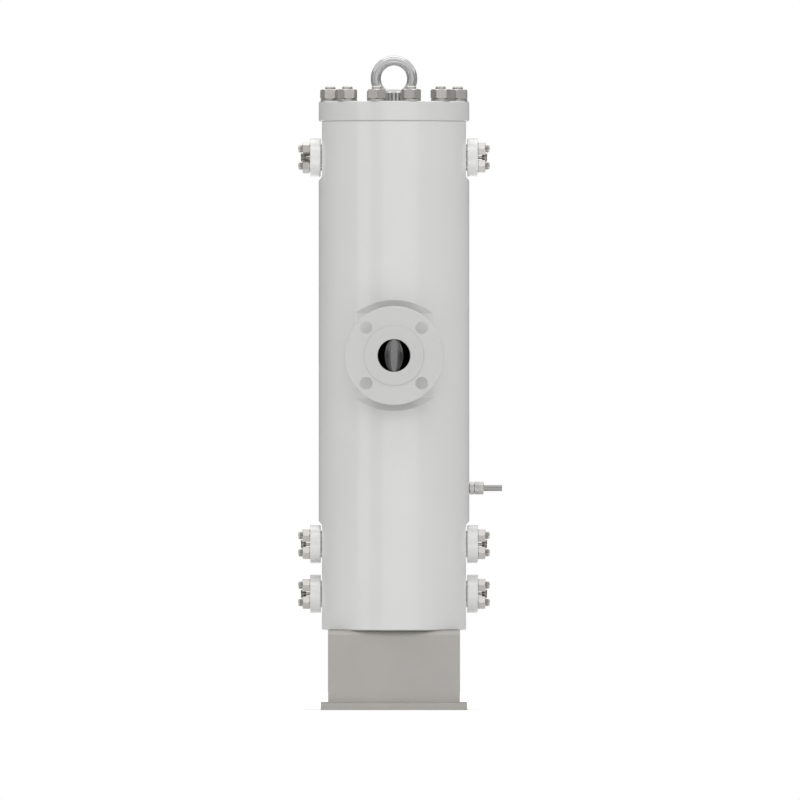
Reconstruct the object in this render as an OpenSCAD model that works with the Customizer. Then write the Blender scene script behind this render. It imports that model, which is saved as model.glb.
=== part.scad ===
// Simplex filter: one upright vessel milled from bar, with a bolted lid, a lift-out strainer
// basket, an inlet and an outlet flange in line, blind covers on six side ports, a pressure
// tap and a stand of bent plate. Z is the vessel's axis and the inlet flange faces -Y. The
// origin is on the floor, under the middle of the base plate.

/* [Vessel] */
// Outside diameter of the vessel and of its lid
vessel_d = 232; // [230:1:240]
// Height of the vessel from its underside to its top face
vessel_h = 783; // [770:1:820]
// Diameter of the chamber inside the vessel
chamber_d = 160; // [152:1:164]
// Thickness of the metal under the chamber
chamber_floor_t = 42; // [38:1:46]
// Height of the flow line above the vessel's underside
flow_h = 422.5; // [400:0.5:440]
// Chamfer on the outer edges of the vessel and the lid
edge_chamfer = 1.5; // [0.5:0.1:2.5]

/* [Milled flats] */
// Distance from the axis to the two flats that carry the side ports
side_flat_x = 111; // [109:0.5:112.5]
// Distance from the axis to the two flats that carry the main flanges
main_flat_y = 99.5; // [98:0.5:102]
// Height of the flats that carry the main flanges
main_flat_h = 131; // [110:1:150]
// Height of a side flat beyond the edge of its port cover
flat_margin = 0.5; // [0.2:0.1:4]
// Angle at which the milling cutter leaves a flat
runout_angle = 40; // [30:1:50]

/* [Main flanges] */
// Outside diameter of a main flange
flange_d = 152; // [148:1:165]
// Thickness of a main flange with its raised face
flange_t = 19; // [17:0.5:24]
// Diameter of the raised sealing face
raised_face_d = 92; // [88:1:96]
// Height of the raised sealing face
raised_face_h = 2; // [1:0.1:3]
// Distance from the middle of a bolt hole to the flange's edge
flange_hole_edge = 15.675; // [15.5:0.025:16.5]
// Diameter of the flange's bolt holes
flange_hole_d = 19; // [16:0.5:20]
// Number of bolt holes in a main flange
flange_holes = 4; // [4, 8]
// Length from the vessel's flat to the sealing face
neck_l = 63.5; // [58:0.5:75]
// Diameter of the neck where it meets the flange
hub_d = 78; // [70:1:84]
// Diameter of the neck where it is welded to the vessel
neck_d = 60.3; // [59:0.1:64]
// Bore of the flange and the vessel wall
bore_d = 50; // [46:0.5:52]
// Leg of the weld round the neck
weld_leg = 6; // [3:0.5:8]

/* [Lid] */
// Thickness of the lid
lid_t = 30.6; // [28:0.2:36]
// Depth of the step that centres the lid in the chamber
lid_step_h = 12; // [6:1:16]
// Number of lid studs
stud_count = 12; // [8, 12]
// Diameter of the circle of lid studs
stud_pcd = 203; // [202:0.5:204]
// Diameter of a lid stud
stud_d = 16; // [14:0.5:16]
// Depth of a lid stud in the vessel
stud_depth = 26; // [20:1:26]
// Height of a lid stud above its nut
stud_proud = 4.6; // [2:0.1:8]
// Width across the flats of a lid nut
nut_af = 27; // [24:0.5:28]
// Height of a lid nut
nut_h = 15.5; // [13:0.5:18]
// Outside diameter of a lid washer
washer_d = 30; // [28:0.5:32]
// Thickness of a lid washer
washer_t = 3; // [2:0.5:4]
// Thickness of the cord of the lid's sealing ring
lid_seal_d = 5.2; // [4:0.1:5.6]

/* [Lifting eye] */
// Outside diameter of the lifting ring
eye_ring_d = 72; // [66:1:76]
// Inside diameter of the lifting ring
eye_hole_d = 40; // [36:1:44]
// Height of the lifting eye above the lid
eye_h = 71; // [68:1:73]
// Diameter of the eye's collar
eye_collar_d = 40; // [36:1:44]
// Height of the eye's collar
eye_collar_h = 15.5; // [12:0.5:16]
// Diameter of the eye's threaded shank
eye_thread_d = 20; // [18:1:22]
// Length of the eye's threaded shank
eye_thread_l = 28; // [22:1:30]

/* [Flow sleeve] */
// Outside diameter of the sleeve that parts the dirty side from the clean side
sleeve_d = 116; // [114:1:120]
// Wall of the sleeve
sleeve_t = 3; // [2:0.5:3]
// Distance from the vessel's top face down to the top of the sleeve
sleeve_drop = 105.5; // [100:0.5:120]
// Depth of the recess in the chamber floor that holds the sleeve
recess_h = 3; // [2:0.5:5]
// Width of the sleeve's foot beyond its wall
foot_w = 4; // [3:0.5:6]
// Height of the sleeve's foot
foot_h = 8; // [5:1:12]
// Thickness of the cord of the seal under the sleeve
sleeve_seal_d = 2.4; // [1.6:0.1:2.8]
// Diameter of the boss on the sleeve for the outlet spigot
boss_d = 62; // [58:1:66]
// Distance from the axis to the boss's outer face
boss_y = 66; // [64:1:68]

/* [Outlet spigot] */
// Inside diameter of the outlet spigot
spigot_bore_d = 43; // [38:0.5:43]
// Distance from the axis to the spigot's outer end
spigot_end_y = 90; // [88:0.5:91]
// Thickness of the cord of the spigot's seal
spigot_seal_d = 2; // [1.6:0.1:2]

/* [Basket] */
// Outside diameter of the basket's slotted tube
basket_d = 96; // [90:0.5:97]
// Wall of the slotted tube
basket_t = 2; // [1.5:0.1:3]
// Height of the free space between the basket and the chamber floor
basket_floor_gap = 34; // [28:1:60]
// Thickness of the strainer mesh
mesh_t = 0.8; // [0.5:0.1:1.2]
// Thickness of the basket's rim and bottom plates
plate_t = 4; // [3:0.5:6]
// Depth of the rim's skirt inside the sleeve
skirt_h = 8; // [5:1:14]
// Thickness of the flat seal under the rim
basket_seal_t = 2; // [1:0.5:3]
// Slots round the tube
slot_columns = 8; // [6:1:10]
// Rows of slots along the tube
slot_rows = 12; // [6:1:13]
// Width of a slot
slot_w = 18; // [8:1:20]
// Length of a slot
slot_l = 36; // [24:1:39]

/* [Basket handle] */
// Radius of the handle's bow
bow_r = 50; // [48:0.5:50.5]
// Diameter of the handle's rod
rod_d = 5.5; // [4:0.5:5.5]
// Diameter of the pins at the handle's ends
pin_d = 6; // [5.8:0.2:7]
// Thickness of the ears that hold the handle
ear_t = 3.5; // [3:0.5:4]
// Width of the ears
ear_w = 13; // [11:1:16]

/* [Side ports] */
// Distance from an end face of the vessel to the centre of the nearest port
port_edge = 55.5; // [53:0.5:60]
// Distance between the two lower ports on one side
port_pitch = 76.5; // [68:0.5:90]
// Bore of a side port
port_bore_d = 14; // [8:1:15]
// Diameter of a port cover
cover_d = 59; // [57:1:62]
// Thickness of a port cover without its sealing face
cover_t = 16.4; // [14:0.2:20]
// Diameter of a cover's sealing face
cover_face_d = 41; // [38:1:50]
// Height of a cover's sealing face
cover_face_h = 1.8; // [1:0.1:3]
// Distance between neighbouring studs of a cover
port_stud_gap = 26.6; // [26:0.2:27.4]
// Diameter of a cover stud
port_stud_d = 12; // [10:0.5:12]
// Depth of a cover stud in the vessel
port_stud_depth = 18; // [14:1:20]
// Height of a cover stud above its nut
port_stud_proud = 6.6; // [2:0.2:8]
// Width across the flats of a cover nut
port_nut_af = 19; // [17:0.5:20]
// Height of a cover nut
port_nut_h = 11.6; // [9:0.2:13]
// Thickness of the cord of a cover's seal
port_seal_d = 2; // [1.4:0.1:2.2]

/* [Bleed screws] */
// Diameter of a bleed screw's thread
bleed_d = 8; // [7:0.5:9]
// Diameter of a bleed screw's waist
bleed_waist_d = 5; // [4:0.5:6]
// Width across the flats of a bleed screw's head
bleed_af = 13; // [10:0.5:14]
// Height of a bleed screw's head
bleed_head_h = 8; // [6:0.5:10]
// Gap between a cover and the head of its bleed screw
bleed_gap = 6.3; // [4:0.1:8]
// Thickness of the cord of a bleed screw's seal
bleed_seal_d = 1.1; // [0.8:0.1:1.3]

/* [Pressure tap] */
// Height of the tap above the vessel's underside
tap_h = 218.5; // [190:0.5:320]
// Outside diameter of the tube
tube_d = 9.5; // [8:0.5:10]
// Wall of the tube
tube_t = 1.2; // [0.8:0.1:1.6]
// Distance from the vessel's axis to the tube's end
tube_end_x = 166.5; // [150:0.5:200]
// Width across the flats of the tap's body
tap_af = 17; // [16:0.5:19]
// Length of the tap's body outside the vessel
tap_body_l = 8; // [6:0.5:12]
// Diameter of the thread that holds the tap in the vessel
tap_thread_d = 12; // [11:0.5:14]
// Depth of that thread in the vessel
tap_thread_l = 12; // [8:1:16]
// Diameter of the round collar of the tube nut
collar_d = 20; // [18:0.5:22]
// Length of the round collar of the tube nut
collar_l = 6; // [4:0.5:8]
// Width across the flats of the tube nut
tube_nut_af = 17; // [16:0.5:19]
// Length of the hexagon of the tube nut
tube_nut_l = 8; // [6:0.5:12]

/* [Stand] */
// Width of the stand from side to side
stand_w = 203; // [180:1:216]
// Depth of the stand from front to back
stand_l = 203; // [180:1:216]
// Height of the stand above the base plate
stand_h = 111.5; // [90:0.5:140]
// Thickness of the stand's plate
stand_t = 8; // [6:0.5:10]
// Outside radius of the stand's two bends
bend_r = 10; // [9:0.5:14]
// Length of each side of the base plate
base_w = 225; // [218:1:240]
// Thickness of the base plate
base_t = 11; // [8:0.5:15]
// Chamfer on the base plate's corners
base_corner = 4; // [1:0.5:8]
// Distance between anchor holes from side to side
anchor_x = 170; // [150:1:180]
// Distance between anchor holes from front to back
anchor_y = 140; // [120:1:146]
// Diameter of the anchor holes
anchor_d = 14; // [10:0.5:16]
// Diameter of the circle of bolts that hold the vessel to the stand
stand_pcd = 150; // [130:1:160]
// Diameter of a stand bolt
stand_bolt_d = 12; // [10:0.5:14]
// Depth of a stand bolt in the vessel
stand_bolt_depth = 20; // [14:1:24]
// Width across the flats of a stand bolt's head
stand_bolt_af = 19; // [17:0.5:21]
// Height of a stand bolt's head
stand_bolt_head_h = 7.5; // [6:0.5:9]
// Thickness of a stand washer
stand_washer_t = 2.5; // [2:0.5:4]

/* [Clearances] */
// Gap between flat faces of pieces that part
seat_gap = 0.2; // [0.1:0.05:0.3]
// Radial gap between a fixed thread and its hole
thread_gap = 0.1; // [0.05:0.05:0.2]
// Radial gap between a turning pin and its hole
running_gap = 0.05; // [0.02:0.01:0.1]
// Radial gap round pieces that lift out
lift_gap = 0.5; // [0.3:0.1:0.6]
// Radial gap between a stud and the hole that it passes through
pass_gap = 1; // [0.5:0.1:1.2]
// Gap round a sealing ring in its groove
groove_gap = 0.1; // [0.05:0.05:0.2]
// Radial gap between a port stud and the hole in its cover
cover_gap = 0.3; // [0.1:0.05:0.4]
// Radial gap between a stand bolt and the hole in the stand
stand_gap = 0.5; // [0.3:0.1:1]
// Radial gap between the outlet spigot and its bore
spigot_gap = 0.3; // [0.2:0.1:0.5]

/* [Hidden] */
$fn = 72;

// Heights of the main levels above the floor
vessel_z = base_t + stand_h;
top_z = vessel_z + vessel_h;
chamber_z = vessel_z + chamber_floor_t;
flow_z = vessel_z + flow_h;
lid_z = top_z + seat_gap;
lid_top_z = lid_z + lid_t;
nut_z = lid_top_z + washer_t;
sleeve_z = chamber_z - recess_h;
sleeve_top_z = top_z - sleeve_drop;
rim_z = sleeve_top_z + seat_gap + basket_seal_t;
rim_top_z = rim_z + plate_t;
basket_h = rim_z - plate_t - chamber_z - basket_floor_gap;
vent_z = top_z - port_edge;
lower_drain_z = vessel_z + port_edge;
upper_drain_z = lower_drain_z + port_pitch;
tap_z = vessel_z + tap_h;

// Radii and reaches that several pieces share
flange_pcd = flange_d - 2 * flange_hole_edge;
vessel_r = vessel_d / 2;
chamber_r = chamber_d / 2;
sleeve_r = sleeve_d / 2;
sleeve_bore_r = sleeve_r - sleeve_t;
basket_r = basket_d / 2;
basket_bore_r = basket_r - basket_t;
mesh_gap = 0.1;
mesh_r = basket_bore_r - mesh_gap;
mesh_bore_r = mesh_r - mesh_t;
skirt_r = sleeve_bore_r - lift_gap;
skirt_wall = 2.5;
eye_cord_r = (eye_ring_d - eye_hole_d) / 4;
lid_seal_r = (chamber_r + stud_pcd / 2 - stud_d / 2) / 2;
cover_h = cover_face_h + cover_t;
port_nut_end = cover_h + port_nut_h;
bleed_hole_r = bleed_d / 2 + running_gap;
bleed_tip_h = 4;
bleed_passage_d = 3;
bleed_waist_sink = 1.2;
bleed_waist_h = cover_h - bleed_waist_sink;
bleed_seal_h = cover_h / 2;
port_seal_land = 0.6;
port_seal_r = port_bore_d / 2 + groove_gap + port_seal_d / 2 + port_seal_land;
spigot_r = bore_d / 2 - spigot_gap;
spigot_basket_gap = 2.5;
spigot_start_y = basket_r + spigot_basket_gap;
wall_relief = 1;
relief_l = 8;
bow_gap = 0.5;
hinge_z = rim_top_z + max(rod_d, pin_d) / 2 + bow_gap;
ear_x = bow_r + rod_d / 2 + bow_gap;
tap_nut_x = tap_body_l + seat_gap;
tube_bore_r = tube_d / 2 - tube_t;
tube_socket = 3;
cut = 1;

// Colours, as the object shows them
paint = [0.86, 0.86, 0.85];
steel = [0.62, 0.6, 0.57];
bright = [0.72, 0.72, 0.72];
stand_grey = [0.66, 0.65, 0.62];
rubber = [0.08, 0.08, 0.08];

// Plain shapes that repeat
module ring(outer_r, inner_r, h) {
    difference() {
        cylinder(r = outer_r, h = h);
        translate([0, 0, -cut])
            cylinder(r = inner_r, h = h + 2 * cut);
    }
}

module cord_ring(centre_r, cord_r) {
    rotate_extrude()
        translate([centre_r, 0])
            circle(r = cord_r);
}

module rod(d, h, chamfer) {
    rotate_extrude()
        polygon([
            [0, 0], [d / 2 - chamfer, 0], [d / 2, chamfer],
            [d / 2, h - chamfer], [d / 2 - chamfer, h], [0, h],
        ]);
}

// Hexagon with both ends turned to 30 degrees, its corners along X
module hexagon(af, h) {
    overlap = 0.2;
    face_share = 0.47;
    corner_r = af / 2 / cos(30) + overlap;
    face_r = face_share * af;
    slope_h = (corner_r - face_r) * tan(30);
    intersection() {
        cylinder(d = af / cos(30), h = h, $fn = 6);
        rotate_extrude()
            polygon([
                [0, 0], [face_r, 0], [corner_r, slope_h],
                [corner_r, h - slope_h], [face_r, h], [0, h],
            ]);
    }
}

module nut(af, h, hole_r) {
    lead = 0.8;
    difference() {
        hexagon(af, h);
        translate([0, 0, -cut])
            cylinder(r = hole_r, h = h + 2 * cut);
        translate([0, 0, h - lead])
            cylinder(r1 = hole_r, r2 = hole_r + lead, h = lead);
    }
}

// Ring groove cut down from a face at height 0
module groove(centre_r, cord_d) {
    translate([0, 0, -cord_d])
        ring(centre_r + cord_d / 2 + groove_gap, centre_r - cord_d / 2 - groove_gap,
             cord_d + cut);
}

// Milled flat at a distance from the axis, on the +X side, with a slope at each end
module flat_cut(distance, low_z, high_z) {
    depth = vessel_r - distance + cut;
    run = depth / tan(runout_angle);
    rotate([90, 0, 0])
        linear_extrude(height = vessel_d, center = true)
            polygon([
                [distance, low_z], [distance + depth, low_z - run],
                [distance + depth, high_z + run], [distance, high_z],
            ]);
}

// Places on the object
module at_lid_studs() {
    for (i = [0 : stud_count - 1])
        rotate([0, 0, (i + 0.5) * 360 / stud_count])
            translate([stud_pcd / 2, 0, 0])
                children();
}

module at_port(side, z) {
    translate([side * side_flat_x, 0, z])
        rotate([0, side * 90, 0])
            children();
}

module at_all_ports() {
    for (side = [-1, 1])
        for (z = [vent_z, upper_drain_z, lower_drain_z])
            at_port(side, z)
                children();
}

module at_port_studs() {
    for (u = [-1, 1])
        for (v = [-1, 1])
            translate([u * port_stud_gap / 2, v * port_stud_gap / 2, 0])
                children();
}

module at_main_flange(turn) {
    translate([0, 0, flow_z])
        rotate([90, 0, turn])
            translate([0, 0, main_flat_y])
                children();
}

module at_tap() {
    translate([vessel_r, 0, tap_z])
        rotate([0, 90, 0])
            children();
}

module at_stand_bolts() {
    for (i = [0 : 3])
        rotate([0, 0, 45 + 90 * i])
            translate([stand_pcd / 2, 0, 0])
                children();
}

// Vessel
module vessel_form() {
    lead = 1;
    recess_r = sleeve_r + foot_w + thread_gap;
    rotate_extrude()
        polygon([
            [0, vessel_z], [vessel_r - edge_chamfer, vessel_z],
            [vessel_r, vessel_z + edge_chamfer], [vessel_r, top_z - edge_chamfer],
            [vessel_r - edge_chamfer, top_z], [chamber_r + lead, top_z],
            [chamber_r, top_z - lead], [chamber_r, chamber_z], [recess_r, chamber_z],
            [recess_r, sleeve_z], [0, sleeve_z],
        ]);
}

module side_flats() {
    reach = cover_d / 2 + flat_margin;
    for (turn = [0, 180])
        rotate([0, 0, turn]) {
            flat_cut(side_flat_x, vent_z - reach, top_z + vessel_r);
            flat_cut(side_flat_x, vessel_z - vessel_r, upper_drain_z + reach);
        }
}

module main_flats() {
    for (turn = [-90, 90])
        rotate([0, 0, turn])
            flat_cut(main_flat_y, flow_z - main_flat_h / 2, flow_z + main_flat_h / 2);
}

module wall_bores() {
    for (turn = [0, 180])
        translate([0, 0, flow_z])
            rotate([90, 0, turn]) {
                translate([0, 0, sleeve_r])
                    cylinder(d = bore_d, h = main_flat_y - sleeve_r);
                translate([0, 0, main_flat_y - relief_l])
                    cylinder(d = bore_d + 2 * wall_relief, h = relief_l + cut);
            }
}

module vessel_body() {
    color(paint)
    difference() {
        vessel_form();
        side_flats();
        main_flats();
        wall_bores();
        translate([0, 0, top_z])
            groove(lid_seal_r, lid_seal_d);
        translate([0, 0, sleeve_z])
            groove(sleeve_r, sleeve_seal_d);
        translate([0, 0, top_z - stud_depth])
            at_lid_studs()
                cylinder(r = stud_d / 2 + thread_gap, h = stud_depth + cut);
        at_all_ports() {
            translate([0, 0, -(side_flat_x - sleeve_r)])
                cylinder(d = port_bore_d, h = side_flat_x - sleeve_r + cut);
            translate([0, 0, -port_stud_depth])
                at_port_studs()
                    cylinder(r = port_stud_d / 2 + thread_gap, h = port_stud_depth + cut);
        }
        at_tap() {
            translate([0, 0, -tap_thread_l])
                cylinder(r = tap_thread_d / 2 + thread_gap, h = tap_thread_l + cut);
            translate([0, 0, -(vessel_r - sleeve_r)])
                cylinder(r = tube_bore_r, h = vessel_r - sleeve_r);
        }
        translate([0, 0, vessel_z - cut])
            at_stand_bolts()
                cylinder(r = stand_bolt_d / 2 + thread_gap, h = stand_bolt_depth + cut);
    }
}

// Main flanges, turned about the flow line with their necks on the vessel's flats
module flange_form() {
    edge = 1;
    face_edge = 0.6;
    land = 4;
    face_r = raised_face_d / 2;
    back_h = neck_l - flange_t;
    face_h = neck_l - raised_face_h;
    weld_r = neck_d / 2 + weld_leg;
    land_h = weld_leg + land;
    rotate_extrude()
        polygon([
            [bore_d / 2, 0], [weld_r, 0], [neck_d / 2, weld_leg], [neck_d / 2, land_h],
            [hub_d / 2, back_h], [flange_d / 2 - edge, back_h], [flange_d / 2, back_h + edge],
            [flange_d / 2, face_h - edge], [flange_d / 2 - edge, face_h],
            [face_r, face_h], [face_r, neck_l - face_edge], [face_r - face_edge, neck_l],
            [bore_d / 2, neck_l],
        ]);
}

module main_flange(turn) {
    color(paint)
    at_main_flange(turn)
        difference() {
            flange_form();
            for (i = [0 : flange_holes - 1])
                rotate([0, 0, (i + 0.5) * 360 / flange_holes])
                    translate([flange_pcd / 2, 0, neck_l - flange_t - cut])
                        cylinder(d = flange_hole_d, h = flange_t + 2 * cut);
        }
}

module inlet_flange() {
    main_flange(0);
}

module outlet_flange() {
    main_flange(180);
}

// Flow sleeve: dirty fluid rises outside it, clean fluid leaves through its boss
module flow_sleeve() {
    spigot_hole_r = spigot_r + thread_gap;
    foot_r = sleeve_r + foot_w;
    color(bright)
    difference() {
        union() {
            rotate_extrude()
                polygon([
                    [0, sleeve_z], [foot_r, sleeve_z], [foot_r, sleeve_z + foot_h],
                    [sleeve_r, sleeve_z + foot_h + foot_w], [sleeve_r, sleeve_top_z],
                    [0, sleeve_top_z],
                ]);
            translate([0, 0, flow_z])
                rotate([-90, 0, 0])
                    cylinder(d = boss_d, h = boss_y);
        }
        translate([0, 0, sleeve_z - cut])
            cylinder(r = sleeve_bore_r, h = sleeve_top_z - sleeve_z + 2 * cut);
        translate([0, 0, flow_z])
            rotate([-90, 0, 0])
                cylinder(r = spigot_hole_r, h = boss_y + cut);
    }
}

module sleeve_seal() {
    color(rubber)
    translate([0, 0, sleeve_z - sleeve_seal_d / 2])
        cord_ring(sleeve_r, sleeve_seal_d / 2);
}

// Place of the spigot's seal, in the middle of the bore that the wall gives it
spigot_seal_y = (chamber_r + spigot_end_y) / 2;

module outlet_spigot() {
    color(bright)
    translate([0, 0, flow_z])
        rotate([-90, 0, 0])
            difference() {
                translate([0, 0, spigot_start_y])
                    ring(spigot_r, spigot_bore_d / 2, spigot_end_y - spigot_start_y);
                translate([0, 0, spigot_seal_y - spigot_seal_d / 2 - groove_gap])
                    ring(spigot_r + cut, spigot_r - spigot_seal_d,
                         spigot_seal_d + 2 * groove_gap);
            }
}

module spigot_seal() {
    color(rubber)
    translate([0, spigot_seal_y, flow_z])
        rotate([-90, 0, 0])
            cord_ring(spigot_r + groove_gap - spigot_seal_d / 2, spigot_seal_d / 2);
}

// Lid and what holds it
module lid() {
    step_r = chamber_r - lift_gap;
    color(paint)
    difference() {
        rotate_extrude()
            polygon([
                [0, lid_z - lid_step_h], [step_r - edge_chamfer, lid_z - lid_step_h],
                [step_r, lid_z - lid_step_h + edge_chamfer], [step_r, lid_z],
                [vessel_r - edge_chamfer, lid_z], [vessel_r, lid_z + edge_chamfer],
                [vessel_r, lid_top_z - edge_chamfer], [vessel_r - edge_chamfer, lid_top_z],
                [0, lid_top_z],
            ]);
        translate([0, 0, lid_z - cut])
            at_lid_studs()
                cylinder(r = stud_d / 2 + pass_gap, h = lid_t + 2 * cut);
        translate([0, 0, lid_top_z - eye_thread_l - cut])
            cylinder(r = eye_thread_d / 2 + thread_gap, h = eye_thread_l + 2 * cut);
    }
}

module lid_seal() {
    color(rubber)
    translate([0, 0, top_z - lid_seal_d / 2])
        cord_ring(lid_seal_r, lid_seal_d / 2);
}

module lid_studs() {
    chamfer = 1.2;
    color(steel)
    translate([0, 0, top_z - stud_depth])
        at_lid_studs()
            rod(stud_d, nut_z + nut_h + stud_proud - top_z + stud_depth, chamfer);
}

module lid_washers() {
    color(steel)
    translate([0, 0, lid_top_z])
        at_lid_studs()
            ring(washer_d / 2, stud_d / 2 + lift_gap, washer_t);
}

module lid_nuts() {
    // Each nut stops at an angle of its own
    turn_step = 47;
    color(steel)
    translate([0, 0, nut_z])
        for (i = [0 : stud_count - 1])
            rotate([0, 0, (i + 0.5) * 360 / stud_count])
                translate([stud_pcd / 2, 0, 0])
                    rotate([0, 0, i * turn_step])
                        nut(nut_af, nut_h, stud_d / 2 + seat_gap);
}

module lifting_eye() {
    ring_z = lid_top_z + eye_h - eye_ring_d / 2;
    collar_r = eye_collar_d / 2;
    thread_r = eye_thread_d / 2;
    chamfer = 2;
    lead = 1;
    // The ring runs down to the collar through a low cone
    cone_r = eye_cord_r + 7;
    cone_h = 3;
    color(steel)
    union() {
        translate([0, 0, ring_z])
            rotate([90, 0, 0])
                cord_ring((eye_ring_d + eye_hole_d) / 4, eye_cord_r);
        translate([0, 0, lid_top_z])
            rotate_extrude()
                polygon([
                    [0, -eye_thread_l], [thread_r - lead, -eye_thread_l],
                    [thread_r, lead - eye_thread_l], [thread_r, 0],
                    [collar_r, 0], [collar_r, eye_collar_h - chamfer],
                    [collar_r - chamfer, eye_collar_h], [cone_r, eye_collar_h],
                    [eye_cord_r, eye_collar_h + cone_h], [0, eye_collar_h + cone_h],
                ]);
    }
}

// Basket, hanging by its rim on top of the sleeve
module ear_form() {
    translate([ear_x, 0, 0])
        rotate([90, 0, 90])
            difference() {
                union() {
                    translate([-ear_w / 2, rim_top_z - plate_t / 2, 0])
                        cube([ear_w, hinge_z - rim_top_z + plate_t / 2, ear_t]);
                    translate([0, hinge_z, 0])
                        cylinder(d = ear_w, h = ear_t);
                }
                translate([0, hinge_z, -cut])
                    cylinder(r = pin_d / 2 + running_gap, h = ear_t + 2 * cut);
            }
}

module basket_rim() {
    color(bright)
    union() {
        rotate_extrude()
            polygon([
                [mesh_bore_r, rim_z], [skirt_r - skirt_wall, rim_z],
                [skirt_r - skirt_wall, rim_z - skirt_h], [skirt_r, rim_z - skirt_h],
                [skirt_r, rim_z], [sleeve_r, rim_z], [sleeve_r, rim_top_z],
                [mesh_bore_r, rim_top_z],
            ]);
        ear_form();
        mirror([1, 0, 0])
            ear_form();
    }
}

module slot_cut() {
    reach = 3;
    rotate([90, 0, 90])
        translate([0, 0, basket_bore_r - reach])
            linear_extrude(height = basket_t + 2 * reach)
                union() {
                    square([slot_w, slot_l - slot_w], center = true);
                    for (end = [-1, 1])
                        translate([0, end * (slot_l - slot_w) / 2])
                            circle(d = slot_w);
                }
}

// Neighbouring rows are half a column apart, and half a row of plain tube stays at the ends
module basket_tube() {
    row_pitch = basket_h / (slot_rows + 0.5);
    color(bright)
    difference() {
        translate([0, 0, rim_z - basket_h])
            ring(basket_r, basket_bore_r, basket_h);
        for (row = [0 : slot_rows - 1])
            for (column = [0 : slot_columns - 1])
                translate([0, 0, rim_z - (row + 0.75) * row_pitch])
                    rotate([0, 0, (column + (row % 2) / 2) * 360 / slot_columns])
                        slot_cut();
    }
}

module basket_mesh() {
    color([0.55, 0.55, 0.54])
    translate([0, 0, rim_z - basket_h])
        ring(mesh_r, mesh_bore_r, basket_h);
}

module basket_bottom() {
    collar_h = 6;
    collar_wall = 3;
    chamfer = 1;
    inner_r = mesh_bore_r - mesh_gap;
    plate_z = rim_z - basket_h - plate_t;
    face_z = plate_z + plate_t;
    color(bright)
    rotate_extrude()
        polygon([
            [0, plate_z], [basket_r - chamfer, plate_z], [basket_r, plate_z + chamfer],
            [basket_r, face_z], [inner_r, face_z], [inner_r, face_z + collar_h],
            [inner_r - collar_wall, face_z + collar_h], [inner_r - collar_wall, face_z],
            [0, face_z],
        ]);
}

module basket_seal() {
    color(rubber)
    translate([0, 0, rim_z - basket_seal_t])
        ring(sleeve_r, skirt_r + mesh_gap, basket_seal_t);
}

// Handle: a bow that lies down on the rim and swings up about the two ears
module basket_handle() {
    pin_start = bow_r - rod_d / 2;
    pin_l = ear_x + ear_t - pin_start;
    color(bright)
    translate([0, 0, hinge_z])
        union() {
            rotate([0, 0, 180])
                rotate_extrude(angle = 180)
                    translate([bow_r, 0])
                        circle(d = rod_d);
            for (side = [-1, 1])
                rotate([0, side * 90, 0])
                    translate([0, 0, pin_start])
                        cylinder(d = pin_d, h = pin_l);
        }
}

// Side ports: a blind cover on four studs, with a bleed screw in its middle
module cover_form() {
    edge = 1;
    color(paint)
    difference() {
        rotate_extrude()
            polygon([
                [0, 0], [cover_face_d / 2, 0], [cover_face_d / 2, cover_face_h],
                [cover_d / 2 - edge, cover_face_h], [cover_d / 2, cover_face_h + edge],
                [cover_d / 2, cover_h - edge], [cover_d / 2 - edge, cover_h], [0, cover_h],
            ]);
        translate([0, 0, -cut])
            at_port_studs()
                cylinder(r = port_stud_d / 2 + cover_gap, h = cover_h + 2 * cut);
        translate([0, 0, -cut])
            cylinder(d = bleed_passage_d, h = cover_h);
        translate([0, 0, bleed_tip_h])
            cylinder(r = bleed_hole_r, h = cover_h);
        mirror([0, 0, 1])
            groove(port_seal_r, port_seal_d);
    }
}

module vent_cover_left() {
    at_port(-1, vent_z)
        cover_form();
}

module vent_cover_right() {
    at_port(1, vent_z)
        cover_form();
}

module upper_drain_cover_left() {
    at_port(-1, upper_drain_z)
        cover_form();
}

module upper_drain_cover_right() {
    at_port(1, upper_drain_z)
        cover_form();
}

module lower_drain_cover_left() {
    at_port(-1, lower_drain_z)
        cover_form();
}

module lower_drain_cover_right() {
    at_port(1, lower_drain_z)
        cover_form();
}

module port_seals() {
    color(rubber)
    at_all_ports()
        translate([0, 0, port_seal_d / 2])
            cord_ring(port_seal_r, port_seal_d / 2);
}

module port_studs() {
    chamfer = 1;
    stud_l = port_stud_depth + port_nut_end + port_stud_proud;
    color(steel)
    at_all_ports()
        translate([0, 0, -port_stud_depth])
            at_port_studs()
                rod(port_stud_d, stud_l, chamfer);
}

module port_nuts() {
    color(steel)
    for (side = [-1, 1])
        for (z = [vent_z, upper_drain_z, lower_drain_z])
            at_port(side, z)
                translate([0, 0, cover_h])
                    at_port_studs()
                        rotate([0, 0, side < 0 && z == vent_z ? 0 : 30])
                            nut(port_nut_af, port_nut_h, port_stud_d / 2 + thread_gap);
}

// Bleed screw: its cone closes the small passage, its waist leaves the head clear of the cover
module bleed_screw_form() {
    tip_r = bleed_passage_d / 2;
    start_h = bleed_tip_h + seat_gap;
    cone_h = bleed_d / 2 - tip_r;
    head_h = cover_h + bleed_gap;
    seal_low = bleed_seal_h - bleed_seal_d / 2 - groove_gap;
    seal_high = bleed_seal_h + bleed_seal_d / 2 + groove_gap;
    seal_r = bleed_d / 2 - bleed_seal_d;
    color(steel)
    union() {
        rotate_extrude()
            polygon([
                [0, start_h], [tip_r, start_h], [bleed_d / 2, start_h + cone_h],
                [bleed_d / 2, seal_low], [seal_r, seal_low], [seal_r, seal_high],
                [bleed_d / 2, seal_high], [bleed_d / 2, bleed_waist_h],
                [bleed_waist_d / 2, bleed_waist_h], [bleed_waist_d / 2, head_h + cut],
                [0, head_h + cut],
            ]);
        translate([0, 0, head_h])
            rotate([0, 0, 30])
                hexagon(bleed_af, bleed_head_h);
    }
}

module vent_screw_left() {
    at_port(-1, vent_z)
        bleed_screw_form();
}

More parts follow.
